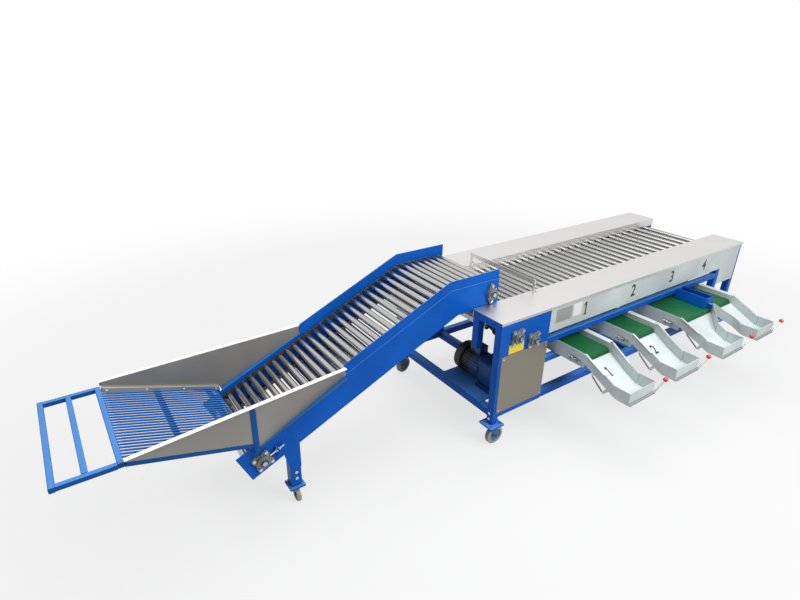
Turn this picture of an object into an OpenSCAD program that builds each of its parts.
// Roller fruit grading machine: loading hopper, roller elevator, spreading roller bed,
// three cross belts and four gated chutes on a castered frame.
// Drawn with x along the machine from the left end of the grading frame, y from its front
// face to the back and z up from the floor, then moved so that the origin is under its middle.

/* [Main frame] */
// Length of the grading frame
frame_l = 2723; // [2690:1:2900]
// Depth of the grading frame, front to back
frame_w = 1040; // [1020:1:1080]
// Height of the tops of the side covers
cover_h = 860; // [855:1:868]
// Height of the underside of the bottom beams
beam_h = 210; // [200:1:225]
// Square tube of the posts and beams
tube = 50; // [46:1:52]
// Square tube of the rails
rail = 40; // [36:1:44]
// Corner radius of the square tubes
tube_r = 5; // [3:0.5:8]
// Left face of the post that ends the front rails
right_post_x = 2400; // [2390:1:2450]
// Underside of the upper front rail below the cover tops
front_rail_drop = 253; // [245:1:258]

/* [Covers and panels] */
// Width of each side cover
cover_w = 240; // [232:1:242]
// Sheet thickness of the covers, panels and chutes
sheet = 3; // [2:0.5:3.5]
// Drop of the covers beside the roller bed
cover_drop = 60; // [40:1:64]
// Length of the left end panel
end_panel_l = 410; // [400:1:416]
// Side of the square service door
door_w = 390; // [360:1:395]
// Height of the service door's lower edge
door_h = 246; // [235:1:260]
// Height of the number panel
number_panel_h = 172; // [150:1:190]
// Length of the deep right end of the number panel
deep_panel_l = 283; // [240:1:310]
// Extra depth of the right end of the number panel
deep_panel_h = 138; // [100:1:160]

/* [Roller bed] */
// Head shaft from the left end
bed_head_x = 131; // [125:1:140]
// Tail shaft from the right end
bed_tail_back = 123; // [118:1:140]
// Depth of the bed shafts below the cover tops
bed_drop = 115; // [112:1:118]
// Radius at which the roller axles turn round the shafts
bed_turn_r = 40; // [39:0.5:42]
// Radius of a grading roller
bed_roller_r = 21.5; // [19:0.5:22.5]
// Steps between the rollers of one run
bed_steps = 33; // [30:1:34]
// Growth of the roller spacing from one step to the next
spread_share = 1.024; // [1.018:0.001:1.026]

/* [Elevator] */
// Gap between the elevator and the side covers
elev_gap = 4; // [3.5:0.5:8]
// Thickness of the elevator side plates
plate_t = 4; // [3:0.5:5]
// Head shaft from the left end of the frame
elev_head_x = 132; // [128:1:138]
// Height of the head shaft above the cover tops
elev_head_up = 68; // [66:1:76]
// Tail shaft to the left of the frame
elev_tail_x = 1350; // [1340:1:1360]
// Height of the tail shaft
elev_tail_h = 372; // [368:1:378]
// Slope of the roller run
run_angle = 25; // [24.5:0.1:25.5]
// Pitch that the roller chain is closest to
elev_pitch_near = 50.8; // [49:0.1:53]
// Radius of an elevator roller
elev_roller_r = 17; // [15:0.5:19]

/* [Hopper] */
// Flare of each hopper wall from the elevator to the loading end
hopper_flare = 60; // [54:1:69]
// Left end of the hopper to the left of the frame
hopper_x = 1955; // [1940:1:1975]
// Left end of the loading table
table_x = 2208; // [2180:1:2260]
// Height of the loading table
table_h = 683; // [676:1:690]
// Rods in the hopper floor
rod_n = 25; // [18:1:27]
// Diameter of a floor rod
rod_d = 10; // [8:0.5:12]
// Slope of the hopper floor
hopper_slope = 17.5; // [17:0.1:18]

/* [Cross belts] */
// Left side of the first belt frame
lane_1_x = 517; // [500:1:540]
// Width of the first belt frame
lane_1_w = 250; // [240:1:270]
// Left side of the second belt frame
lane_2_x = 988; // [970:1:1010]
// Width of the second belt frame
lane_2_w = 262; // [250:1:275]
// Left side of the wide third belt frame
lane_3_x = 1475; // [1460:1:1490]
// Width of the wide third belt frame
lane_3_w = 700; // [690:1:715]
// Middle of the divider from the left side of the third belt
divider_in = 411; // [395:1:425]
// Reach of the first two belt frames in front of the frame
lane_reach = 214; // [205:1:225]
// Reach of the third belt frame
wide_reach = 256; // [245:1:265]
// Height of the belt side plates
lane_plate_h = 94; // [92:1:98]
// Radius of the belt drums
drum_r = 22; // [20:0.5:23]
// Thickness of the belts
belt_t = 3; // [2:0.5:4]

/* [Chutes and gates] */
// Slope of the chutes
chute_slope = 26; // [24:0.5:27]
// Reach of chutes 1 and 2 beyond the belt frame
chute_reach = 220; // [210:1:230]
// Reach of chutes 3 and 4 beyond the belt frame
wide_chute_reach = 205; // [200:1:215]
// Upright height of the chute walls
chute_wall_h = 72; // [66:1:76]
// Length of a gate box
gate_l = 104; // [95:1:115]
// Height of a gate box
gate_h = 80; // [76:1:86]
// Diameter of the lever rod
lever_d = 10; // [8:0.5:12]
// Diameter of a lever knob
knob_d = 30; // [26:1:34]

/* [Gate springs] */
// Wire diameter of the gate springs
spring_wire = 3.2; // [2.6:0.1:3.4]
// Mean radius of the spring curls
spring_r = 4.5; // [4.2:0.1:5.5]
// Curls in each spring
spring_curls = 22; // [16:1:23]

/* [Casters] */
// Diameter of the caster wheels
wheel_d = 125; // [120:1:127]
// Width of a caster wheel
wheel_w = 34; // [30:1:38]
// Height of the undersides of the leg pads
pad_h = 150; // [148:1:156]
// Side of a leg pad
pad_w = 110; // [100:1:116]
// Trail of a caster wheel behind its swivel
caster_lag = 28; // [24:1:32]
// Size of the elevator's casters against the grader's
small_share = 0.64; // [0.6:0.01:0.68]

/* [Hidden] */
$fn = 48;

// Clearances shared by all the pieces
over = 1;
weld = 0.2;
fit = 0.4;
bore_play = 0.06;
hex_share = 0.866;

// Colours
blue = [0.06, 0.25, 0.62];
stainless = [0.74, 0.74, 0.73];
chrome = [0.82, 0.83, 0.84];
black = [0.08, 0.08, 0.09];
cast_grey = [0.33, 0.36, 0.38];
zinc = [0.6, 0.63, 0.68];
pale = [0.8, 0.82, 0.84];
green = [0.1, 0.42, 0.28];
red = [0.8, 0.08, 0.06];
grey_tyre = [0.45, 0.46, 0.47];
cream = [0.85, 0.8, 0.68];

// Frame levels
mid_y = frame_w / 2;
bed_shaft_h = cover_h - bed_drop;
front_rail_h = cover_h - front_rail_drop;
elev_head_h = cover_h + elev_head_up;
elev_w = frame_w - 2 * (cover_w + elev_gap);
hopper_w = elev_w + 2 * hopper_flare;
beam_top = beam_h + tube;
frame_top = cover_h - sheet;
top_rail_z = frame_top - tube;
inner_rail_z = frame_top - rail;
inner_rail_y = cover_w - sheet - rail;
stub_y = cover_w - sheet - tube;
stub_drop = 247;
pad_t = 10;
sleeve_low = 178;
leg_in = 4;
slot_w = 24;
slot_l = 40;
slot_deep = 2;
slot_z = 200;
post_lap = 8;
left_post_x = end_panel_l + post_lap - tube;
mid_cross_x = 1400;
motor_plate_y = 120;
motor_plate_w = 400;
motor_plate_t = 6;
panel_low = 212;
panel_gap = 2;
panel_right_in = 30;

// Shafts and bearings
shaft_r = 12.5;
shaft_end = 6;
bolt_head = 7;
bolt_flat = 17;
flange_w = 95;
flange_r = 12;
waist_r = 42;
waist_in = 6;
flange_t = 13;
boss_r = 34;
boss_h = 28;
ring_r = 21;
bearing_h = 34;
flange_bolt = 35;
oval_bolt = 49.5;
oval_end_r = 15;
oval_flat = 8;
hole_r = 18;
hanger_w = 124;
hanger_t = 6;
hanger_h = 222;
hanger_y = inner_rail_y - weld - hanger_t;

// Roller bed
bed_tail_x = frame_l - bed_tail_back;
bed_span = bed_tail_x - bed_head_x;
bed_step_0 = bed_span * (spread_share - 1) / (pow(spread_share, bed_steps) - 1);
bed_top = bed_shaft_h + bed_turn_r;
bed_low = bed_shaft_h - bed_turn_r;
bed_axle_r = 6;
bed_link_t = 3;
bed_link_w = 20;
bed_link_in = 2;
bed_link_y = inner_rail_y + bed_link_in;
bed_axle_y = bed_link_y + 2 * bed_link_t + 2 * fit;
bed_gap = 1;
bed_tube_y = cover_w + bed_gap;
bed_wheel_t = 12;
bed_wheel_in = 5;
bed_wheel_y = bed_axle_y + bed_wheel_in;
bed_wheel_r = bed_turn_r - bed_axle_r - fit;
track_w = 11;
track_h = 8;
track_y = cover_w - sheet - track_w - bed_gap;
track_top = bed_top - bed_axle_r - fit;
track_end = 64;
bracket_t = 6;
bracket_w = 36;
bracket_low = 26;
bracket_shares = [0.13, 0.35, 0.58, 0.8, 0.95];
function bed_at(i) = bed_head_x + bed_step_0 * (pow(spread_share, i) - 1) / (spread_share - 1);
bed_pins = concat([for (i = [0 : bed_steps]) [bed_at(i), bed_top]],
    [[bed_tail_x + bed_turn_r, bed_shaft_h]],
    [for (i = [bed_steps : -1 : 0]) [bed_at(i), bed_low]],
    [[bed_head_x - bed_turn_r, bed_shaft_h]]);

// Path of the elevator's roller chain: up the slope, level to the head and back underneath
elev_y = mid_y - elev_w / 2;
elev_teeth = 8;
tail = [-elev_tail_x, elev_tail_h];
head = [elev_head_x, elev_head_h];
slant = (head[1] - tail[1]) / sin(run_angle);
level = head[0] - tail[0] - slant * cos(run_angle);
elev_lines = 2 * (slant + level);
elev_steps = elev_teeth + 2 * round(elev_lines / elev_pitch_near / 2);
elev_pitch = elev_lines / (elev_steps - elev_teeth);
elev_r = elev_teeth * elev_pitch / (2 * PI);
bend_in = elev_r * tan(run_angle / 2);
up = [cos(run_angle), sin(run_angle)];
out = [-sin(run_angle), cos(run_angle)];
top_start = tail + elev_r * out;
top_bend = top_start + (slant + bend_in) * up;
low_bend = tail - elev_r * out + (slant - bend_in) * up;
s_bend = slant + bend_in;
s_head = s_bend + head[0] - top_bend[0];
s_under = s_head + PI * elev_r;
s_low = s_under + head[0] - low_bend[0];
s_tail = s_low + slant - bend_in;
function on_arc(c, r, a) = c + r * [cos(a), sin(a)];
function turned(s) = s / elev_r * 180 / PI;
function elev_at(s) = s < s_bend ? top_start + s * up
    : s < s_head ? top_bend + [s - s_bend, 0]
    : s < s_under ? on_arc(head, elev_r, 90 - turned(s - s_head))
    : s < s_low ? head + [s_under - s, -elev_r]
    : s < s_tail ? low_bend - (s - s_low) * up
    : on_arc(tail, elev_r, run_angle - 90 - turned(s - s_tail));
elev_pins = [for (i = [0 : elev_steps - 1]) elev_at(i * elev_pitch)];
head_phase = 90 - turned(ceil(s_head / elev_pitch) * elev_pitch - s_head);
tail_phase = run_angle + 90;
elev_link_t = 3.5;
elev_link_w = 26;
elev_link_in = 8;
elev_link_y = elev_y + plate_t + elev_link_in;
elev_axle_r = 6;
elev_axle_y = elev_link_y + 2 * elev_link_t + 2 * fit;
elev_sprocket_in = 4;
elev_sprocket_y = elev_axle_y + elev_sprocket_in;
elev_sprocket_t = 12;
elev_tube_in = 8;
elev_tube_y = elev_sprocket_y + elev_sprocket_t + elev_tube_in;
sprocket_gap = 0.6;
scallop = 5;
hub_r = 22;
hub_l = 26;

// Elevator side plates and what hangs on them
plate_angle = 24;
plate_depth = 174;
plate_left = 1479;
plate_left_z = 428;
plate_half = 83;
plate_level_z = elev_head_h + plate_half;
plate_low_z = elev_head_h - plate_half;
plate_head_x = 196;
plate_tan = tan(plate_angle);
plate_foot = [-plate_left + plate_depth * sin(plate_angle), plate_left_z - plate_depth * cos(plate_angle)];
plate_bend_x = (plate_level_z - plate_left_z) / plate_tan - plate_left;
plate_low_x = plate_foot[0] + (plate_low_z - plate_foot[1]) / plate_tan;
function plate_top(x) = min(plate_level_z, plate_left_z + (x + plate_left) * plate_tan);
function plate_under(x) = plate_foot[1] + (x - plate_foot[0]) * plate_tan;
guard_x = -870;
guard_t = 3;
guard_h = 56;
guard_lap = 20;
tie_r = 16;
tie_shares = [0.14, 0.42, 0.7, 0.97];
tab_w = 40;
tab_drop = 30;
tab_in = 18;
tab_xs = [tab_in, plate_head_x - tab_w];
spacer_r = 11;
takeup_x = 86;
takeup_w = 52;
takeup_h = 34;
takeup_t = 8;
takeup_z = 11;
takeup_screw_r = 5;
takeup_screw_x = 42;
takeup_screw_l = 84;

// Elevator legs
leg_x = -1206;
leg_w = 60;
leg_top = 326;
gusset = 29;
leg_tab_low = 232;
leg_low = 120;
leg_slot_z = 162;
small_pad_w = 88;
leg_y = elev_y + plate_t + weld;

// Casters, with the way each wheel trails in the photographed rest
swivels = [[tube / 2, tube / 2], [tube / 2, frame_w - tube / 2],
    [frame_l - tube / 2, tube / 2], [frame_l - tube / 2, frame_w - tube / 2],
    [leg_x + leg_w / 2, leg_y + leg_w / 2], [leg_x + leg_w / 2, frame_w - leg_y - leg_w / 2]];
fork_turns = [0, 12, 180, 168, -90, -75];
function caster_share(i) = i > 3 ? small_share : 1;
king_r = 8;
king_l = 9;
fork_gap = 0.3;
swivel_r = 32;
swivel_h = 12;
crown_t = 8;
crown_w = 62;
fork_arm_t = 4;
fork_arm_w = 46;
fork_boss_r = 15;
axle_r = 6;
axle_head = 5;
wheel_side = 1.5;
tyre_round = 9;
wheel_rim_r = 44;
wheel_web = 14;
wheel_hub_r = 19;

// Drive chains between equal sprockets
drive_teeth = 12;
drive_pitch = 25.4;
drive_r = drive_teeth * drive_pitch / (2 * PI);
chain_half = 9;
chain_t = 2;
disc_t = 6;
tooth_depth = 7;
tooth_out = 5;
lay_x = 271;
lay_drop = 58;
lay_h = bed_shaft_h - lay_drop;
gear_x = 195;
gear_up = 104;
gear_h = beam_top + motor_plate_t + gear_up;
chain_a_y = 92;
chain_b_y = 142;
chain_c_in = 162;
chain_c_gap = 48;
chain_c_y = max(frame_w - chain_c_in, mid_y + elev_w / 2 + bearing_h + chain_c_gap);
gear_c = [gear_x, gear_h];
lay_c = [lay_x, lay_h];
bed_c = [bed_head_x, bed_shaft_h];
cover_slot_w = 40;

// Gearmotors
box_y = 150;
box_l = 130;
box_w = 150;
box_h = 180;
box_r = 24;
foot_h = 14;
foot_w = 190;
motor_r = 90;
motor_l = 160;
fin_n = 28;
fin_h = 6;
fin_t = 4;
cowl_r = 99;
cowl_l = 52;
terminal = [70, 90, 44];
out_shaft = 70;
out_end = 14;
line_box = 92;
line_box_l = 84;
line_motor_r = 44;
line_motor_l = 108;

// Cross belts
lanes = [[lane_1_x, lane_1_w, lane_reach], [lane_2_x, lane_2_w, lane_reach], [lane_3_x, lane_3_w, wide_reach]];
lane_top = front_rail_h - sheet;
lane_low = lane_top - lane_plate_h;
mid_rail_z = lane_low - rail;
belt_drop = 32;
belt_top = lane_top - belt_drop;
drum_z = belt_top - belt_t - fit - drum_r;
nose_gap = 2;
nose_back = drum_r + belt_t + nose_gap;
drive_in = 92;
drive_y = frame_w - drive_in;
lane_back_in = 4;
lane_back = frame_w - lane_back_in;
belt_side = 7;
drum_side = 3;
nose_axle_r = 8;
nose_nut = 8;
slider_t = 2;
slider_end = 34;
lane_flange = 40;
lane_tie_r = 8;
lane_tie_shares = [-0.086, 0.317, 0.673];
strip_w = 22;
strip_t = 3;
strip_back = 60;
take_in = 12;
take_w = 46;
take_h = 44;
divider_t = 30;
divider_low = 3;
divider_w = 110;
divider_h = 74;
divider_lean = 14;
divider_skin = 3;
divider_nose = 28;
deflector_rise = 52;
deflector_t = 2;
line_hole = 15;

// Chutes: left and right at the belt, left and right at the exit, spring side, start, reach
chute_rise = 8;
chute_z = lane_top + chute_rise;
wide_split = lane_3_x + divider_in;
exit_in = 18;
wide_in = 15;
slant_in = 150;
split_in = 12;
fourth_in = 62;
chutes = [
    [lane_1_x, lane_1_x + lane_1_w, lane_1_x, lane_1_x + lane_1_w - exit_in, -1, lane_reach, chute_reach],
    [lane_2_x, lane_2_x + lane_2_w, lane_2_x, lane_2_x + lane_2_w - exit_in, -1, lane_reach, chute_reach],
    [lane_3_x, wide_split, lane_3_x + wide_in, wide_split - slant_in, -1, wide_reach, wide_chute_reach],
    [wide_split + split_in, lane_3_x + lane_3_w, wide_split + fourth_in, lane_3_x + lane_3_w, 1,
        wide_reach, wide_chute_reach]];
chute_gap = 2;
divider_front = wide_reach + chute_gap - weld;
taper_share = 0.66;
chute_flange = 13;
lap_w = 16;
lap_h = 66;
lap_gap = 0.4;
function start_y(c) = -c[5] - chute_gap;
function end_y(c) = start_y(c) - c[6];
function taper_y(c) = start_y(c) - taper_share * c[6];
function chute_top(c, y) = chute_z + (y - start_y(c)) * tan(chute_slope);
function lean(c, i) = atan(abs(c[i + 2] - c[i]) / (start_y(c) - taper_y(c)));
function miter_y(c, i, t) = taper_y(c) - t * tan(lean(c, i) / 2);
function wall_at(c, y, i) = y < taper_y(c) ? c[i + 2]
    : c[i] + (c[i + 2] - c[i]) * (y - start_y(c)) / (taper_y(c) - start_y(c));

// Gates and their levers
hinge_r = 6;
hinge_in = 12;
hinge_drop = 13;
hinge_head_r = 10;
hinge_head = 3;
cheek_gap = 1;
cheek_back = 14;
arm_back = 42;
arm_drop = 56;
arm_w = 18;
peg_r = 4;
peg_back = 132;
peg_up = 16;
peg_end = 5;
spring_out = 12;
pan_gap = 1;
lip = 12;
lever_rise = 7;
elbow_over = 0.6;
lever_side = 8;
lever_out = 66;
lever_fwd = 13;
lever_up = 66;
knob_seat = 10;
function hinge(c) = [end_y(c) + hinge_in, chute_top(c, end_y(c)) - hinge_drop];
function gate_low(c) = chute_top(c, end_y(c)) - chute_wall_h - sheet;
function gate_front(c) = end_y(c) - gate_l;
function peg(c) = hinge(c) + [peg_back, peg_up];
function arm_pin(c) = hinge(c) + [arm_back, -arm_drop];
function cheek_x(c, s) = s < 0 ? c[2] - sheet - cheek_gap - sheet : c[3] + sheet + cheek_gap;
function spring_x(c) = c[4] < 0 ? cheek_x(c, -1) - spring_out : cheek_x(c, 1) + sheet + spring_out;
function lever_start(c) = [cheek_x(c, 1) + sheet + lever_side, gate_front(c) - lever_d / 2 + over,
    gate_low(c) + lever_rise];
function lever_tip(c) = lever_start(c) + [lever_out, -lever_fwd, lever_up];

// Springs: a straight wire from the peg, the curls, and a straight wire to the gate's arm
curl_rings = 8;
wire_sides = 6;
ramp_share = 0.5;
spring_gap = 0.3;
spring_dir = [arm_back - peg_back, -arm_drop - peg_up] / norm([arm_back - peg_back, -arm_drop - peg_up]);
spring_l = norm([arm_back - peg_back, arm_drop + peg_up]) - 2 * (peg_r + spring_gap);
curl_l = spring_l - 2 * spring_wire;
ring_n = spring_curls * curl_rings;
along = [0, spring_dir[0], spring_dir[1]];
across = cross(along, [1, 0, 0]);
function ramp(t) = t < ramp_share ? pow(sin(90 * t / ramp_share), 2) : 1;
function curl_r(t) = spring_r * ramp(min(t, spring_curls - t));
function ray(t) = cos(360 * t) * [1, 0, 0] + sin(360 * t) * across;
spring_path = concat([[0, 0, 0]],
    [for (i = [0 : ring_n]) let (t = i / curl_rings)
        (spring_wire + curl_l * i / ring_n) * along + curl_r(t) * ray(t)],
    [spring_l * along]);
spring_rays = concat([ray(0)], [for (i = [0 : ring_n]) ray(i / curl_rings)], [ray(spring_curls)]);
path_end = len(spring_path) - 1;
function unit(v) = v / norm(v);
function tangent(i) = i == 0 || i == path_end ? along : unit(spring_path[i + 1] - spring_path[i - 1]);
spring_points = [for (i = [0 : path_end]) let (t = tangent(i), u = unit(spring_rays[i] - (spring_rays[i] * t) * t),
    v = cross(t, u)) for (k = [0 : wire_sides - 1])
    spring_path[i] + spring_wire / 2 * (cos(360 * k / wire_sides) * u + sin(360 * k / wire_sides) * v)];
spring_faces = concat([[for (k = [wire_sides - 1 : -1 : 0]) k]],
    [for (i = [0 : path_end - 1], k = [0 : wire_sides - 1]) let (a = i * wire_sides, n = (k + 1) % wire_sides)
        [a + k, a + n, a + wire_sides + n]],
    [for (i = [0 : path_end - 1], k = [0 : wire_sides - 1]) let (a = i * wire_sides, n = (k + 1) % wire_sides)
        [a + k, a + wire_sides + n, a + wire_sides + k]],
    [[for (k = [0 : wire_sides - 1]) path_end * wire_sides + k]]);
self_gap = min([for (i = [0 : path_end], j = [i + curl_rings - 2 : path_end])
    if (j <= path_end) norm(spring_path[j] - spring_path[i])]) - spring_wire;
echo(spring_self_gap = self_gap);

// Hopper
hopper_y = mid_y - hopper_w / 2;
hopper_top_left = 703;
hopper_top_right = 748;
hopper_end = 868;
hopper_run = hopper_x - hopper_end;
hopper_in = elev_y - sheet - fit - hopper_y;
hopper_turn = atan(hopper_in / hopper_run);
hopper_tube = 25;
table_z = table_h - hopper_tube;
bar_out = 7;
bar_left = hopper_x + bar_out;
bar_side = 6;
floor_start = bar_left - hopper_tube;
tube_end = 1378;
tube_fall = tan(hopper_slope);
tube_tip = tube_end - hopper_tube * sin(hopper_slope) - fit;
function tube_low(x) = table_z - (x + floor_start) * tube_fall;
tube_rise = hopper_tube / cos(hopper_slope);
rod_up = hopper_tube / 2;
rod_end = 1396;
rod_side = 62;
cross_bar_w = 30;
cross_bar_t = 8;
cross_shares = [0.46, 0.93];
strap_x = 1392;
strap_w = 26;
strap_t = 5;
strap_low = 20;
wall_flange = 22;
angle_start = 1362;
angle_end = 874;
angle_w = 40;
angle_h = 30;
angle_t = 4;
angle_shares = [0.06, 0.4, 0.73];
angle_l = (angle_start - angle_end) / cos(plate_angle);
table_mid_share = 0.475;
function wall_y(x) = hopper_y + (x + hopper_x) * tan(hopper_turn);

// Entry bar over the start of the bed
entry_x = 488;
entry_w = 18;
entry_h = 84;
entry_t = 4;
entry_bar_h = 30;
entry_foot = 44;
entry_in = 26;

// Service door screws
door_x = 22;
screw_r = 6;
screw_h = 3;
screw_in = 16;

// Move to the middle of the machine's length and depth
left_reach = table_x;
right_reach = frame_l - tube / 2 + pad_w / 2;
front_reach = max([for (c = chutes) -lever_tip(c)[1]]) + knob_d / 2;
back_reach = frame_w + sheet + bearing_h + shaft_end;
module place() { translate([(left_reach - right_reach) / 2, (front_reach - back_reach) / 2, 0]) children(); }

// Shared shapes
module rounded(w, h, r) {
    translate([r, 0]) square([w - 2 * r, h]);
    translate([0, r]) square([w, h - 2 * r]);
    for (x = [r, w - r], y = [r, h - r]) translate([x, y]) circle(r);
}
module bar_x(at, l, w) { translate(at) rotate([90, 0, 90]) linear_extrude(l) rounded(w, w, tube_r); }
module bar_y(at, l, w) { translate(at + [0, l, 0]) rotate([90, 0, 0]) linear_extrude(l) rounded(w, w, tube_r); }
module bar_z(at, l, w) { translate(at) linear_extrude(l) rounded(w, w, tube_r); }
module side(y, t) { translate([0, y + t, 0]) rotate([90, 0, 0]) linear_extrude(t) children(); }
module end_on(x, t) { translate([x, 0, 0]) rotate([90, 0, 90]) linear_extrude(t) children(); }
module rod_y(c, y0, y1, r) { translate([c[0], y0, c[1]]) rotate([-90, 0, 0]) cylinder(r = r, h = y1 - y0); }
module rod_x(c, x0, x1, r) { translate([x0, c[0], c[1]]) rotate([0, 90, 0]) cylinder(r = r, h = x1 - x0); }
module rod_between(a, b, r) {
    d = b - a;
    translate(a) rotate([0, acos(d[2] / norm(d)), atan2(d[1], d[0])]) cylinder(r = r, h = norm(d));
}
module mirrored() { children(); translate([0, frame_w, 0]) mirror([0, 1, 0]) children(); }
module facing_front(c, y, a = 0) { translate([c[0], y, c[1]]) rotate([90, -a, 0]) children(); }
module facing_left(c, x) { translate([x, c[0], c[1]]) rotate([0, -90, 0]) children(); }
module hex(h = bolt_head, flat = bolt_flat) { cylinder(d = flat / hex_share, h = h, $fn = 6); }
module stadium(a, b, w) {
    d = b - a;
    translate(a) rotate(atan2(d[1], d[0])) {
        translate([0, -w / 2]) square([norm(d), w]);
        for (x = [0, norm(d)]) translate([x, 0]) circle(w / 2);
    }
}

// Welded frame of square tubes, each butted a hair from the next
module leg_slot() linear_extrude(2 * slot_deep, center = true) stadium([0, 0], [0, slot_l], slot_w);
module corner_post(x) {
    difference() {
        bar_z([x, 0, sleeve_low], frame_top - sleeve_low, tube);
        translate([x > 0 ? frame_l : 0, tube / 2, slot_z]) rotate([90, 0, 90]) leg_slot();
    }
    translate([x, 0, 0]) leg_foot(tube, sleeve_low, 1, pad_w);
}
module leg_foot(w, top, k, pad) {
    low = k * pad_h;
    translate([leg_in, leg_in, low + pad_t + weld]) linear_extrude(top - low - pad_t - 2 * weld)
        rounded(w - 2 * leg_in, w - 2 * leg_in, tube_r);
    translate([w / 2, w / 2, low]) {
        linear_extrude(pad_t) translate([-pad / 2, -pad / 2]) rounded(pad, pad, tube_r);
        translate([0, 0, -k * king_l]) cylinder(r = k * king_r, h = k * king_l + over);
    }
}
module hanger(c) {
    side(hanger_y, hanger_t) difference() {
        translate([c[0] - hanger_w / 2, frame_top - hanger_h]) rounded(hanger_w, hanger_h, flange_r);
        translate(c) circle(hole_r);
    }
}
module track_bracket(x) {
    low = track_top - track_h - weld;
    left = inner_rail_y - weld - bracket_w;
    end_on(x, bracket_t) polygon([[left, low - bracket_low], [track_y + track_w, low - bracket_low],
        [track_y + track_w, low], [inner_rail_y - bracket_t, low], [inner_rail_y - bracket_t, inner_rail_z],
        [inner_rail_y - weld, inner_rail_z], [inner_rail_y - weld, frame_top], [left, frame_top]]);
}
module frame_side() {
    ends = [0, frame_l - tube];
    inside = frame_l - 2 * (tube + weld);
    for (x = ends) corner_post(x);
    bar_x([tube + weld, 0, beam_h], inside, tube);
    bar_x([tube + weld, 0, top_rail_z], inside, tube);
    bar_x([tube + weld, inner_rail_y, inner_rail_z], inside, rail);
    for (x = [left_post_x, right_post_x])
        bar_z([x, 0, beam_top + weld], top_rail_z - beam_top - 2 * weld, tube);
    for (z = [mid_rail_z, front_rail_h])
        bar_x([left_post_x + tube + weld, 0, z], right_post_x - left_post_x - tube - 2 * weld, rail);
    for (x = ends) {
        bar_y([x, tube + weld, top_rail_z], stub_y - tube - 2 * weld, tube);
        bar_z([x, stub_y, frame_top - stub_drop], stub_drop, tube);
    }
    hanger([bed_tail_x, bed_shaft_h]);
    translate([bed_head_x + track_end, track_y, track_top - track_h])
        cube([bed_span - 2 * track_end, track_w, track_h]);
    for (k = bracket_shares) track_bracket(bed_head_x + k * bed_span);
}
module main_frame() color(blue) place() {
    mirrored() frame_side();
    hanger(lay_c);
    for (x = [0, left_post_x, mid_cross_x, frame_l - tube])
        bar_y([x, tube + weld, beam_h], frame_w - 2 * (tube + weld), tube);
    translate([weld, motor_plate_y, beam_top + weld])
        cube([left_post_x + tube - 2 * weld, motor_plate_w, motor_plate_t]);
}

// Sheet panels and covers
module end_panel(holes) {
    side(-sheet, sheet) difference() {
        translate([0, panel_low]) square([end_panel_l, frame_top - panel_low]);
        for (c = holes) translate(c) circle(hole_r);
    }
}
module body_panels() color(blue) place() {
    end_panel([bed_c, lay_c]);
    translate([0, frame_w, 0]) mirror([0, 1, 0]) {
        end_panel([bed_c]);
        side(-sheet, sheet) translate([end_panel_l + panel_gap, frame_top - number_panel_h])
            square([frame_l - end_panel_l - panel_gap, number_panel_h]);
    }
}
module service_door() color(stainless) place()
    side(-2 * sheet, sheet) translate([door_x, door_h]) rounded(door_w - panel_gap, door_w, tube_r);
module number_panel() color(pale) place() side(-sheet, sheet) {
    left = end_panel_l + panel_gap;
    translate([left, frame_top - number_panel_h]) square([frame_l - panel_right_in - left, number_panel_h]);
    translate([frame_l - deep_panel_l, frame_top - number_panel_h - deep_panel_h])
        square([deep_panel_l - panel_right_in, number_panel_h]);
}
module cover_profile() {
    translate([-2 * sheet, frame_top]) square([cover_w + 2 * sheet, sheet]);
    translate([cover_w - sheet, cover_h - cover_drop]) square([sheet, cover_drop]);
    translate([-2 * sheet, cover_h - bolt_flat]) square([sheet, bolt_flat]);
}
module side_covers() color(stainless) place() {
    end_on(0, frame_l) cover_profile();
    difference() {
        translate([0, frame_w, 0]) mirror([0, 1, 0]) end_on(0, frame_l) cover_profile();
        translate([bed_head_x - drive_r - cover_slot_w / 2, chain_c_y - cover_slot_w / 2, frame_top - over])
            cube([2 * drive_r + cover_slot_w, cover_slot_w, sheet + 2 * over]);
    }
}
module entry_post() {
    translate([entry_x, cover_w - entry_in, cover_h]) {
        translate([0, 0, weld]) cube([entry_foot, entry_w, entry_t]);
        translate([0, 0, weld]) cube([entry_t, entry_w, entry_h]);
    }
}
module entry_bar() color(stainless) place() {
    mirrored() entry_post();
    translate([entry_x - entry_t, cover_w - entry_in, cover_h + entry_h - entry_bar_h + weld])
        cube([entry_t, frame_w - 2 * (cover_w - entry_in), entry_bar_h]);
}

// Spreading roller bed
module bed_rollers() color(chrome) place() for (p = bed_pins) {
    rod_y(p, bed_tube_y, frame_w - bed_tube_y, bed_roller_r);
    rod_y(p, bed_axle_y, frame_w - bed_axle_y, bed_axle_r);
}
module strand(pins, y, t, w) for (i = [0 : len(pins) - 1])
    side(y + (i % 2) * (t + fit), t) stadium(pins[i], pins[(i + 1) % len(pins)], w);
module bed_links() color(cast_grey) place() mirrored() strand(bed_pins, bed_link_y, bed_link_t, bed_link_w);

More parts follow.
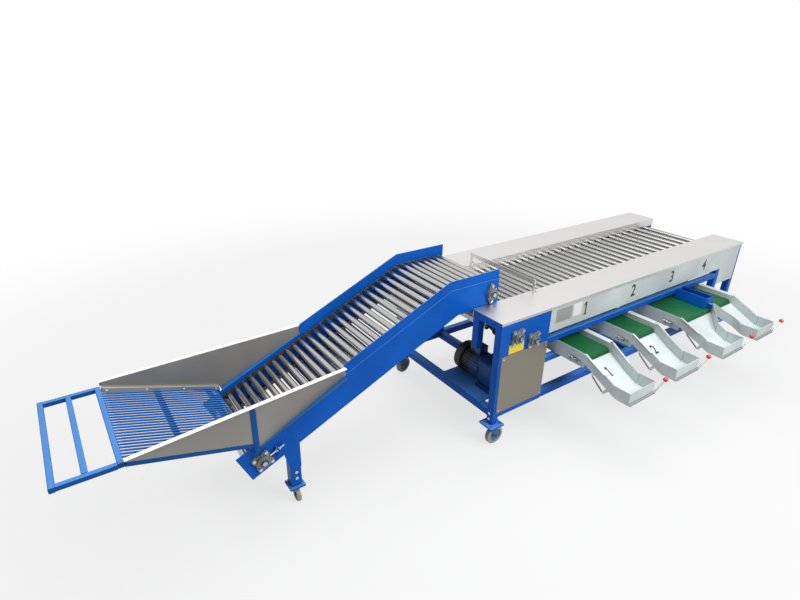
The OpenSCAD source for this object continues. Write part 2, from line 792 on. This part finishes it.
// Roller elevator
module plate_outline() {
    polygon([[-plate_left, plate_left_z], [plate_bend_x, plate_level_z], [plate_head_x, plate_level_z],
        [plate_head_x, plate_low_z], [plate_low_x, plate_low_z], plate_foot]);
    polygon([[leg_x - gusset, plate_under(leg_x - gusset) + over], [leg_x, leg_tab_low],
        [leg_x + leg_w, leg_tab_low], [leg_x + leg_w, plate_under(leg_x + leg_w) + over]]);
    for (x = tab_xs) translate([x, plate_low_z - tab_drop]) square([tab_w, tab_drop + over]);
}
module guard_outline() polygon([[guard_x, plate_top(guard_x) - guard_lap], [plate_bend_x, plate_level_z - guard_lap],
    [plate_head_x, plate_level_z - guard_lap], [plate_head_x, plate_level_z + guard_h],
    [plate_bend_x - guard_h * tan(plate_angle / 2), plate_level_z + guard_h],
    [guard_x, plate_top(guard_x) + guard_h / cos(plate_angle)]]);
module elevator_side_plates() color(blue) place() mirrored() {
    side(elev_y, plate_t) difference() {
        plate_outline();
        for (c = [head, tail]) translate(c) circle(hole_r);
    }
    side(elev_y + plate_t, guard_t) guard_outline();
}
module at_take_up() facing_front(tail, elev_y, plate_angle) translate([takeup_x, 0, 0]) rotate([90, 0, 90]) children();
module take_up() at_take_up() linear_extrude(takeup_t) difference() {
    translate([-takeup_w / 2, weld]) square([takeup_w, takeup_h]);
    translate([0, takeup_z]) circle(takeup_screw_r + fit);
}
module take_up_screw() at_take_up() translate([0, takeup_z, 0]) {
    translate([0, 0, takeup_screw_x - takeup_x]) cylinder(r = takeup_screw_r, h = takeup_screw_l);
    translate([0, 0, -bolt_head - weld]) hex();
    translate([0, 0, takeup_t + weld]) hex();
}
module elevator_frame() color(blue) place() {
    for (k = tie_shares) rod_y(tail + k * slant * up, elev_y + plate_t + weld, frame_w - elev_y - plate_t - weld, tie_r);
    mirrored() translate([leg_x, leg_y, 0]) {
        difference() {
            bar_z([0, 0, leg_low], leg_top - leg_low, leg_w);
            translate([leg_w / 2, 0, leg_slot_z]) rotate([90, 0, 0]) leg_slot();
        }
        leg_foot(leg_w, leg_low, small_share, small_pad_w);
    }
    mirrored() take_up();
}
module elevator_rollers() color(chrome) place() for (p = elev_pins) {
    rod_y(p, elev_tube_y, frame_w - elev_tube_y, elev_roller_r);
    rod_y(p, elev_axle_y, frame_w - elev_axle_y, elev_axle_r);
}
module elevator_links() color(cast_grey) place() mirrored() strand(elev_pins, elev_link_y, elev_link_t, elev_link_w);

// Flange bearings, drawn on their seats with the shaft along z
module bearing_boss() {
    cylinder(r = boss_r, h = boss_h);
    cylinder(r = ring_r, h = bearing_h);
}
module square_flange() difference() {
    translate([-flange_w / 2, -flange_w / 2]) rounded(flange_w, flange_w, flange_r);
    for (k = [0 : 3]) rotate(90 * k) translate([flange_w / 2 + waist_r - waist_in, 0]) circle(waist_r);
}
module square_bearing() difference() {
    union() {
        linear_extrude(flange_t) square_flange();
        bearing_boss();
    }
    translate([0, 0, -over]) cylinder(r = shaft_r + bore_play, h = bearing_h + 2 * over);
}
module oval_bearing() difference() {
    union() {
        linear_extrude(flange_t) {
            polygon([[oval_end_r, oval_bolt], [boss_r, oval_flat], [boss_r, -oval_flat], [oval_end_r, -oval_bolt],
                [-oval_end_r, -oval_bolt], [-boss_r, -oval_flat], [-boss_r, oval_flat], [-oval_end_r, oval_bolt]]);
            for (y = [-oval_bolt, oval_bolt]) translate([0, y]) circle(oval_end_r);
        }
        bearing_boss();
    }
    translate([0, 0, -over]) cylinder(r = shaft_r + bore_play, h = bearing_h + 2 * over);
}
module square_seats() {
    mirrored() facing_front(bed_c, -sheet) children();
    facing_front(lay_c, -sheet) children();
    facing_front(lay_c, hanger_y) children();
    mirrored() facing_front([bed_tail_x, bed_shaft_h], hanger_y) children();
    mirrored() facing_front(tail, elev_y, plate_angle) children();
}
module oval_seats() {
    mirrored() facing_front(head, elev_y) children();
    for (x = [lane_1_x, lane_3_x]) facing_left([drive_y, drum_z], x) children();
}
module flange_bearings() color(cast_grey) place() {
    square_seats() square_bearing();
    oval_seats() oval_bearing();
}
module fasteners() color(zinc) place() {
    square_seats() for (x = [-flange_bolt, flange_bolt], y = [-flange_bolt, flange_bolt])
        translate([x, y, flange_t]) hex();
    oval_seats() for (y = [-oval_bolt, oval_bolt]) translate([0, y, flange_t]) hex();
    for (x = [screw_in, door_w - panel_gap - screw_in], z = [screw_in, door_w - screw_in])
        facing_front([door_x + x, door_h + z], -2 * sheet) cylinder(r = screw_r, h = screw_h);
    mirrored() {
        for (z = [0, slot_l]) {
            facing_left([tube / 2, slot_z + z], slot_deep) hex();
            translate([frame_l - slot_deep, tube / 2, slot_z + z]) rotate([0, 90, 0]) hex();
            facing_front([leg_x + leg_w / 2, leg_slot_z + z], leg_y + slot_deep) hex();
        }
        for (x = tab_xs) {
            facing_front([x + tab_w / 2, plate_low_z - tab_drop / 2], elev_y) cylinder(r = spacer_r, h = elev_y - cover_w);
            translate([x + tab_w / 2, elev_y + plate_t, plate_low_z - tab_drop / 2]) rotate([-90, 0, 0]) hex();
        }
    }
    mirrored() {
        take_up_screw();
        for (k = angle_shares) on_angle() translate([k * angle_l, -angle_t, -(angle_h + angle_t) / 2]) rotate([90, 0, 0]) hex();
        translate([entry_x + (entry_foot + entry_t) / 2, cover_w - entry_in + entry_w / 2, cover_h + weld + entry_t]) hex();
    }
    for (i = [0 : len(swivels) - 1], x = [-1, 1], y = [-1, 1]) {
        k = caster_share(i);
        inset = (i > 3 ? small_pad_w : pad_w) / 2 - k * bolt_flat;
        translate([swivels[i][0] + x * inset, swivels[i][1] + y * inset, k * pad_h + pad_t]) hex(k * bolt_head, k * bolt_flat);
    }
}

// Sprockets and shafts
module drive_disc(c, y) translate([c[0], y, c[1]]) rotate([90, 0, 0]) {
    translate([0, 0, -disc_t / 2]) linear_extrude(disc_t) difference() {
        circle(drive_r + tooth_out);
        for (k = [0 : drive_teeth - 1]) rotate(360 * (k + 1 / 2) / drive_teeth)
            translate([drive_r + tooth_out, 0]) circle(tooth_depth);
    }
    translate([0, 0, -hub_l / 2]) cylinder(r = hub_r, h = hub_l);
}
module seat_sprocket(c, phase) {
    side(elev_sprocket_y, elev_sprocket_t) difference() {
        translate(c) circle(elev_r - elev_axle_r - sprocket_gap);
        for (k = [0 : elev_teeth - 1]) translate(on_arc(c, elev_r, phase + 360 * k / elev_teeth))
            circle(elev_axle_r + scallop);
    }
    rod_y(c, elev_sprocket_y, elev_sprocket_y + hub_l, hub_r);
}
module chain_loop(a, b, y) for (s = [-1, 1])
    side(y + s * (disc_t / 2 + fit + chain_t / 2) - chain_t / 2, chain_t) difference() {
        stadium(a, b, 2 * (drive_r + chain_half));
        stadium(a, b, 2 * (drive_r - chain_half));
    }
module drive_chains() color(black) place() {
    chain_loop(gear_c, lay_c, chain_a_y);
    chain_loop(bed_c, lay_c, chain_b_y);
    chain_loop(bed_c, head, chain_c_y);
}
module bed_wheels(c) mirrored() rod_y(c, bed_wheel_y, bed_wheel_y + bed_wheel_t, bed_wheel_r);
module bed_head_shaft() color(stainless) place() {
    reach = sheet + bearing_h + shaft_end;
    rod_y(bed_c, -reach, frame_w + reach, shaft_r);
    bed_wheels(bed_c);
    drive_disc(bed_c, chain_b_y);
    drive_disc(bed_c, chain_c_y);
}
module bed_tail_shaft() color(stainless) place() {
    c = [bed_tail_x, bed_shaft_h];
    reach = hanger_y - bearing_h - shaft_end;
    rod_y(c, reach, frame_w - reach, shaft_r);
    bed_wheels(c);
}
module elevator_shaft(c, phase, back) {
    rod_y(c, elev_y - bearing_h - shaft_end, back, shaft_r);
    mirrored() seat_sprocket(c, phase);
}
module elevator_head_shaft() color(stainless) place() {
    elevator_shaft(head, head_phase, chain_c_y + hub_l / 2 + shaft_end);
    drive_disc(head, chain_c_y);
}
module elevator_tail_shaft() color(stainless) place()
    elevator_shaft(tail, tail_phase, frame_w - elev_y + bearing_h + shaft_end);
module layshaft() color(stainless) place() {
    rod_y(lay_c, -sheet - bearing_h - shaft_end, hanger_y + hanger_t, shaft_r);
    drive_disc(lay_c, chain_a_y);
    drive_disc(lay_c, chain_b_y);
}
module drive_sprocket() color(stainless) place() {
    rod_y(gear_c, chain_a_y - hub_l / 2, box_y + out_shaft, shaft_r);
    drive_disc(gear_c, chain_a_y);
}

// Gearmotors
module gearboxes() color(blue) place() {
    difference() {
        union() {
            side(box_y, box_l) translate(gear_c - [box_w / 2, box_h / 2]) rounded(box_w, box_h, box_r);
            rod_y(gear_c, box_y - out_end, box_y + over, boss_r);
            translate([gear_x - foot_w / 2, box_y, beam_top + motor_plate_t + 2 * weld]) cube([foot_w, box_l, foot_h]);
        }
        rod_y(gear_c, box_y - out_end - over, box_y + out_shaft + over, shaft_r + bore_play);
    }
    difference() {
        end_on(lane_3_x + lane_3_w + weld, line_box_l) translate([drive_y - line_box / 2, drum_z - line_box / 2])
            rounded(line_box, line_box, flange_r);
        rod_x([drive_y, drum_z], lane_3_x + lane_3_w - over, lane_3_x + lane_3_w + line_box_l / 2 + over,
            shaft_r + bore_play);
    }
}
module motors() color(black) place() {
    back = box_y + box_l + weld;
    rod_y(gear_c, back, back + motor_l, motor_r - fin_h);
    for (k = [0 : fin_n - 1]) translate([gear_x, back + motor_l, gear_h]) rotate([0, 360 * k / fin_n, 0])
        translate([-fin_t / 2, -motor_l, motor_r - fin_h - over]) cube([fin_t, motor_l, fin_h + over]);
    rod_y(gear_c, back + motor_l - over, back + motor_l + cowl_l, cowl_r);
    translate([gear_x - terminal[0] / 2, back + (motor_l - terminal[1]) / 2, gear_h + motor_r - fin_h - over])
        cube(terminal);
    rod_x([drive_y, drum_z], lane_3_x + lane_3_w + line_box_l + 2 * weld,
        lane_3_x + lane_3_w + line_box_l + line_motor_l, line_motor_r);
}

// Hopper and loading table
module hopper_wall() {
    a = [-floor_start + weld, wall_y(-floor_start + weld)];
    mid = -angle_start;
    function s(x) = (x - a[0]) / cos(hopper_turn);
    lift = tube_rise + weld;
    translate([a[0], a[1], 0]) rotate([0, 0, hopper_turn]) translate([0, sheet, 0]) rotate([90, 0, 0]) {
        linear_extrude(sheet) polygon([[0, tube_low(a[0]) + lift], [0, hopper_top_left], [s(-hopper_end), hopper_top_right],
            [s(-hopper_end), plate_top(-hopper_end) + weld], [s(mid), plate_top(mid) + weld],
            [s(-tube_tip), tube_low(-tube_tip) + lift]]);
        translate([0, 0, sheet]) linear_extrude(wall_flange) polygon([[0, hopper_top_left - sheet], [0, hopper_top_left],
            [s(-hopper_end), hopper_top_right], [s(-hopper_end), hopper_top_right - sheet]]);
    }
}
module hopper_walls() color(stainless) place() mirrored() hopper_wall();
module slope_tube() {
    translate([-floor_start + weld, wall_y(-floor_start), tube_low(-floor_start)]) rotate([0, 0, hopper_turn])
        rotate([0, hopper_slope, 0]) bar_x([0, 0, 0], (floor_start - tube_end) / cos(hopper_slope), hopper_tube);
}
module on_angle() translate([-angle_start, elev_y - weld, plate_top(-angle_start)]) rotate([0, -plate_angle, 0]) children();
module hopper_angle() on_angle() {
    translate([0, -angle_w, -angle_t]) cube([angle_l, angle_w, angle_t]);
    translate([0, -angle_t, -angle_h]) cube([angle_l, angle_t, angle_h - angle_t + over]);
}
module hopper_frame() color(blue) place() {
    left = -table_x;
    inner = hopper_tube + weld;
    mirrored() {
        bar_x([left + inner, hopper_y, table_z], table_x - bar_left - inner - weld, hopper_tube);
        slope_tube();
        hopper_angle();
        translate([-strap_x, wall_y(-strap_x) - strap_t - weld, plate_top(-strap_x) - strap_low])
            cube([strap_w, strap_t, hopper_top_left - plate_top(-strap_x) + strap_low]);
    }
    bar_y([left, hopper_y, table_z], hopper_w, hopper_tube);
    bar_y([left + table_mid_share * (table_x - bar_left), hopper_y + inner, table_z], hopper_w - 2 * inner, hopper_tube);
    bar_y([-bar_left, hopper_y + bar_side, table_z], hopper_w - 2 * bar_side, hopper_tube);
    rod_l = (floor_start - rod_end) / cos(hopper_slope);
    translate([-floor_start + weld, 0, table_z + rod_up]) rotate([0, hopper_slope, 0]) {
        for (k = [0 : rod_n - 1]) rod_x([hopper_y + rod_side + k * (hopper_w - 2 * rod_side) / (rod_n - 1), 0],
            0, rod_l, rod_d / 2);
        for (k = cross_shares) {
            x = -floor_start + k * (floor_start - rod_end);
            y = wall_y(x + cross_bar_w / 2) + hopper_tube / cos(hopper_turn) + weld;
            translate([k * rod_l - cross_bar_w / 2, y, -rod_d / 2 - cross_bar_t - weld])
                cube([cross_bar_w, frame_w - 2 * y, cross_bar_t]);
        }
    }
}

// Cross belts
function nose_y(l) = -l[2] + nose_back;
module lane_plate(l, x) end_on(x, sheet) difference() {
    translate([-l[2], lane_low]) square([lane_back + l[2], lane_plate_h]);
    translate([nose_y(l), drum_z]) circle(nose_axle_r + bore_play);
    translate([drive_y, drum_z]) circle(line_hole);
}
module deflector(left, right, top, low) {
    mid = (left + right) / 2;
    side(cover_w, frame_w - 2 * cover_w) polygon([[left, low], [mid, top], [right, low], [right, low + deflector_t],
        [mid, top + 2 * deflector_t], [left, low + deflector_t]]);
}
module conveyor_frame(l) {
    right = l[0] + l[1];
    lane_plate(l, l[0]);
    lane_plate(l, right - sheet);
    translate([right - sheet, lap_w - l[2], lane_top - sheet]) cube([lane_flange, l[2] - lap_w - fit, sheet]);
    translate([l[0] + sheet + weld, nose_y(l) + slider_end, belt_top - belt_t - 2 * fit - slider_t])
        cube([l[1] - 2 * (sheet + weld), drive_y - nose_y(l) - 2 * slider_end, slider_t]);
    for (k = lane_tie_shares) rod_x([k * frame_w, drum_z], l[0] + sheet + weld, right - sheet - weld, lane_tie_r);
    for (x = [l[0] - strip_t - weld, right + weld]) {
        translate([x, nose_y(l) + strip_back, lane_low]) cube([strip_t, strip_w, belt_top - lane_low]);
        end_on(x, strip_t) difference() {
            translate([nose_y(l) - take_in, drum_z - take_h / 2]) rounded(take_w, take_h, tube_r);
            translate([nose_y(l), drum_z]) circle(nose_axle_r + fit);
        }
    }
}
module conveyor_frames() color(pale) place() {
    for (l = lanes) conveyor_frame(l);
    top = lane_top + deflector_rise;
    low = lane_top + weld;
    deflector(lane_1_x + lane_1_w - sheet, lane_2_x + sheet, top, low);
    deflector(lane_2_x + lane_2_w - sheet, lane_3_x + sheet, top, low);
}
module divider_profile(t) polygon([[t - divider_w / 2, t], [t - divider_w / 2 + divider_lean, divider_h + t],
    [divider_w / 2 - divider_lean - t, divider_h + t], [divider_w / 2 - t, t]]);
module conveyor_divider() color(blue) place() translate([wide_split, 0, belt_top + divider_low]) {
    translate([-divider_t / 2, -divider_front, 0])
        cube([divider_t, divider_front + frame_w - cover_w, front_rail_h - weld - belt_top - divider_low]);
    front = divider_nose - wide_reach;
    side(front, -weld - front) difference() {
        divider_profile(0);
        divider_profile(divider_skin);
    }
    side(front, divider_skin) divider_profile(0);
}
module belt(l) {
    a = [nose_y(l), drum_z];
    b = [drive_y, drum_z];
    end_on(l[0] + sheet + belt_side, l[1] - 2 * (sheet + belt_side)) difference() {
        stadium(a, b, 2 * (drum_r + fit + belt_t));
        stadium(a, b, 2 * (drum_r + fit));
    }
}
module conveyor_belts() color(green) place() for (l = lanes) belt(l);
module nose_drum(l) color(stainless) place() {
    c = [nose_y(l), drum_z];
    rod_x(c, l[0] + sheet + drum_side, l[0] + l[1] - sheet - drum_side, drum_r);
    rod_x(c, l[0] - nose_nut, l[0] + l[1] + nose_nut, nose_axle_r);
}
module conveyor_drive_shaft() color(stainless) place() {
    c = [drive_y, drum_z];
    rod_x(c, lane_1_x - bearing_h - shaft_end, lane_3_x + lane_3_w + line_box_l / 2, shaft_r);
    for (l = lanes) rod_x(c, l[0] + sheet + drum_side, l[0] + l[1] - sheet - drum_side, drum_r);
}

// Chutes: a tray cut from its plan by two sloping planes, with folded edges and a level pan
module chute_plan(c, t, e) polygon(concat(e > 0 ? [[c[0], start_y(c) + e]] : [],
    [[c[0] - t / cos(lean(c, 0)), start_y(c)], [c[2] - t, miter_y(c, 0, t)], [c[2] - t, end_y(c) - e],
        [c[3] + t, end_y(c) - e], [c[3] + t, miter_y(c, 1, t)], [c[1] + t / cos(lean(c, 1)), start_y(c)]],
    e > 0 ? [[c[1], start_y(c) + e]] : []));
module chute_band(c, low, high) {
    a = end_y(c) - 2 * over;
    b = start_y(c) + 2 * over;
    end_on(c[0] - 2 * chute_flange, c[1] - c[0] + 4 * chute_flange) polygon([[a, chute_top(c, a) + low],
        [b, chute_top(c, b) + low], [b, chute_top(c, b) + high], [a, chute_top(c, a) + high]]);
}
module chute_cut(c, low, high) intersection() {
    linear_extrude(chute_z + 2 * over) children();
    chute_band(c, low, high);
}
module chute_edge(c, i, s) chute_cut(c, -sheet, 0) polygon([[c[i] + s * sheet / 2, start_y(c)],
    [c[i + 2] + s * sheet / 2, taper_y(c)], [c[i + 2] + s * chute_flange, taper_y(c)],
    [c[i] + s * chute_flange, start_y(c)]]);
module chute(c) {
    y0 = start_y(c);
    z2 = chute_top(c, end_y(c));
    h = chute_wall_h;
    difference() {
        chute_cut(c, -h, 0) chute_plan(c, sheet, 0);
        chute_cut(c, sheet / cos(chute_slope) - h, over) chute_plan(c, 0, over);
    }
    if (c[0] != wide_split + split_in) chute_edge(c, 0, -1);
    if (c[1] != wide_split) chute_edge(c, 1, 1);
    for (x = [if (c[0] != wide_split + split_in) c[0] - sheet - lap_gap, if (c[1] != wide_split) c[1] + lap_gap])
        translate([x, y0 - over, lane_top - lap_h]) cube([sheet, lap_w + over, lap_h]);
    translate([c[2] - sheet, gate_front(c) + sheet + pan_gap, z2 - h])
        cube([c[3] - c[2] + 2 * sheet, gate_l - sheet - pan_gap + over, sheet]);
    hinge_studs(c);
    peg_x = wall_at(c, peg(c)[0], c[4] < 0 ? 0 : 1) + c[4] * sheet / 2;
    rod_out(peg(c), peg_x, c[4], abs(spring_x(c) - peg_x) + peg_end, peg_r);
}
module rod_out(c, x, s, l, r) rod_x(c, min(x, x + s * l), max(x, x + s * l), r);
module hinge_studs(c) for (s = [-1, 1]) {
    face = s < 0 ? c[2] - sheet : c[3] + sheet;
    l = cheek_gap + sheet + fit;
    rod_out(hinge(c), face - s * over, s, l + over + hinge_head, hinge_r);
    rod_out(hinge(c), face + s * l, s, hinge_head, hinge_head_r);
}
module chute_1() color(pale) place() chute(chutes[0]);
module chute_2() color(pale) place() chute(chutes[1]);
module chute_3() color(pale) place() chute(chutes[2]);
module chute_4() color(pale) place() chute(chutes[3]);

// Gates: cheeks outside the chute walls, a front plate with a lip, and a lever with its knob
module cheek(c, s) {
    h = hinge(c);
    top = gate_low(c) + gate_h;
    end_on(cheek_x(c, s), sheet) difference() {
        union() {
            polygon([[h[0] + cheek_back, top], [gate_front(c), top], [gate_front(c), gate_low(c)],
                [end_y(c) - cheek_back, gate_low(c)], [h[0] + cheek_back, h[1] - cheek_back]]);
            if (s == c[4]) stadium(h, arm_pin(c), arm_w);
        }
        translate(h) circle(hinge_r + bore_play);
    }
}
module gate(c) {
    left = cheek_x(c, -1);
    width = cheek_x(c, 1) + sheet - left;
    low = gate_low(c);
    front = gate_front(c);
    for (s = [-1, 1]) cheek(c, s);
    translate([left, front, low]) cube([width, sheet, gate_h]);
    translate([left, front - lip, low]) cube([width, lip + over, sheet]);
    pin_face = c[4] < 0 ? left : left + width;
    rod_out(arm_pin(c), pin_face - c[4] * over, c[4], over + spring_out + peg_end, peg_r);
    rod_x([lever_start(c)[1], lever_start(c)[2]], left, lever_start(c)[0], lever_d / 2);
    translate(lever_start(c)) sphere(lever_d / 2 + elbow_over);
    d = lever_tip(c) - lever_start(c);
    rod_between(lever_start(c), lever_start(c) + d * (1 - (knob_d / 2 - knob_seat) / norm(d)), lever_d / 2);
}
module gate_knob(c) difference() {
    translate(lever_tip(c)) sphere(knob_d / 2);
    rod_between(lever_start(c), lever_tip(c) - unit(lever_tip(c) - lever_start(c)) * (knob_d / 2 - knob_seat - fit),
        lever_d / 2 + bore_play);
}
module gate_1() color(pale) place() gate(chutes[0]);
module gate_2() color(pale) place() gate(chutes[1]);
module gate_3() color(pale) place() gate(chutes[2]);
module gate_4() color(pale) place() gate(chutes[3]);
module gate_knob_1() color(red) place() gate_knob(chutes[0]);
module gate_knob_2() color(red) place() gate_knob(chutes[1]);
module gate_knob_3() color(red) place() gate_knob(chutes[2]);
module gate_knob_4() color(red) place() gate_knob(chutes[3]);
module gate_spring(c) color(zinc) place()
    translate([spring_x(c), peg(c)[0], peg(c)[1]] + (peg_r + spring_gap) * along) polyhedron(spring_points, spring_faces);
module gate_spring_1() gate_spring(chutes[0]);
module gate_spring_2() gate_spring(chutes[1]);
module gate_spring_3() gate_spring(chutes[2]);
module gate_spring_4() gate_spring(chutes[3]);

// Swivel casters
module at_caster(i) translate([swivels[i][0], swivels[i][1], 0]) rotate([0, 0, fork_turns[i]])
    scale(caster_share(i)) children();
module fork(k) {
    top = pad_h - fork_gap / k;
    crown = top - swivel_h - crown_t;
    arm_y = wheel_w / 2 + wheel_side;
    difference() {
        union() {
            translate([0, 0, top - swivel_h]) cylinder(r = swivel_r, h = swivel_h);
            translate([0, 0, crown]) cylinder(r = crown_w / 2, h = crown_t + over);
            for (y = [-arm_y - fork_arm_t, arm_y]) side(y, fork_arm_t) {
                polygon([[-fork_arm_w / 2, crown + over], [fork_arm_w / 2, crown + over],
                    [caster_lag + fork_boss_r, wheel_d / 2], [caster_lag - fork_boss_r, wheel_d / 2]]);
                translate([caster_lag, wheel_d / 2]) circle(fork_boss_r);
            }
            rod_y([caster_lag, wheel_d / 2], -arm_y - fork_arm_t - axle_head, arm_y + fork_arm_t + axle_head, axle_r);
        }
        translate([0, 0, top - king_l - fit]) cylinder(r = king_r + bore_play / k, h = king_l + fit + over);
    }
}
module wheel(k) translate([caster_lag, 0, wheel_d / 2]) rotate([90, 0, 0]) rotate_extrude() {
    bore = axle_r + bore_play / k;
    translate([bore, -wheel_w / 2]) square([wheel_hub_r - bore, wheel_w]);
    translate([wheel_hub_r - over, -wheel_web / 2]) square([wheel_rim_r - wheel_hub_r + 2 * over, wheel_web]);
    translate([wheel_rim_r, -wheel_w / 2]) square([wheel_d / 2 - tyre_round - wheel_rim_r, wheel_w]);
    translate([wheel_rim_r, -wheel_w / 2 + tyre_round]) square([wheel_d / 2 - wheel_rim_r, wheel_w - 2 * tyre_round]);
    for (y = [-1, 1]) translate([wheel_d / 2 - tyre_round, y * (wheel_w / 2 - tyre_round)]) circle(tyre_round);
}
module caster_fork(i) color(zinc) place() at_caster(i) fork(caster_share(i));
module caster_wheel(i, tone) color(tone) place() at_caster(i) wheel(caster_share(i));
module caster_fork_1() caster_fork(0);
module caster_fork_2() caster_fork(1);
module caster_fork_3() caster_fork(2);
module caster_fork_4() caster_fork(3);
module caster_fork_5() caster_fork(4);
module caster_fork_6() caster_fork(5);
module caster_wheel_1() caster_wheel(0, grey_tyre);
module caster_wheel_2() caster_wheel(1, grey_tyre);
module caster_wheel_3() caster_wheel(2, grey_tyre);
module caster_wheel_4() caster_wheel(3, grey_tyre);
module caster_wheel_5() caster_wheel(4, cream);
module caster_wheel_6() caster_wheel(5, cream);
module nose_drum_1() nose_drum(lanes[0]);
module nose_drum_2() nose_drum(lanes[1]);
module nose_drum_3() nose_drum(lanes[2]);

main_frame();
body_panels();
service_door();
number_panel();
side_covers();
entry_bar();
bed_rollers();
bed_links();
elevator_side_plates();
elevator_frame();
elevator_rollers();
elevator_links();
flange_bearings();
fasteners();
motors();
gearboxes();
hopper_walls();
hopper_frame();
conveyor_frames();
conveyor_divider();
conveyor_belts();
chute_1();
chute_2();
chute_3();
chute_4();
drive_chains();
gate_spring_1();
gate_spring_2();
gate_spring_3();
gate_spring_4();
caster_fork_1();
caster_fork_2();
caster_fork_3();
caster_fork_4();
caster_fork_5();
caster_fork_6();
caster_wheel_1();
caster_wheel_2();
caster_wheel_3();
caster_wheel_4();
caster_wheel_5();
caster_wheel_6();
gate_1();
gate_2();
gate_3();
gate_4();
gate_knob_1();
gate_knob_2();
gate_knob_3();
gate_knob_4();
conveyor_drive_shaft();
nose_drum_1();
nose_drum_2();
nose_drum_3();
bed_head_shaft();
bed_tail_shaft();
elevator_head_shaft();
elevator_tail_shaft();
layshaft();
drive_sprocket();
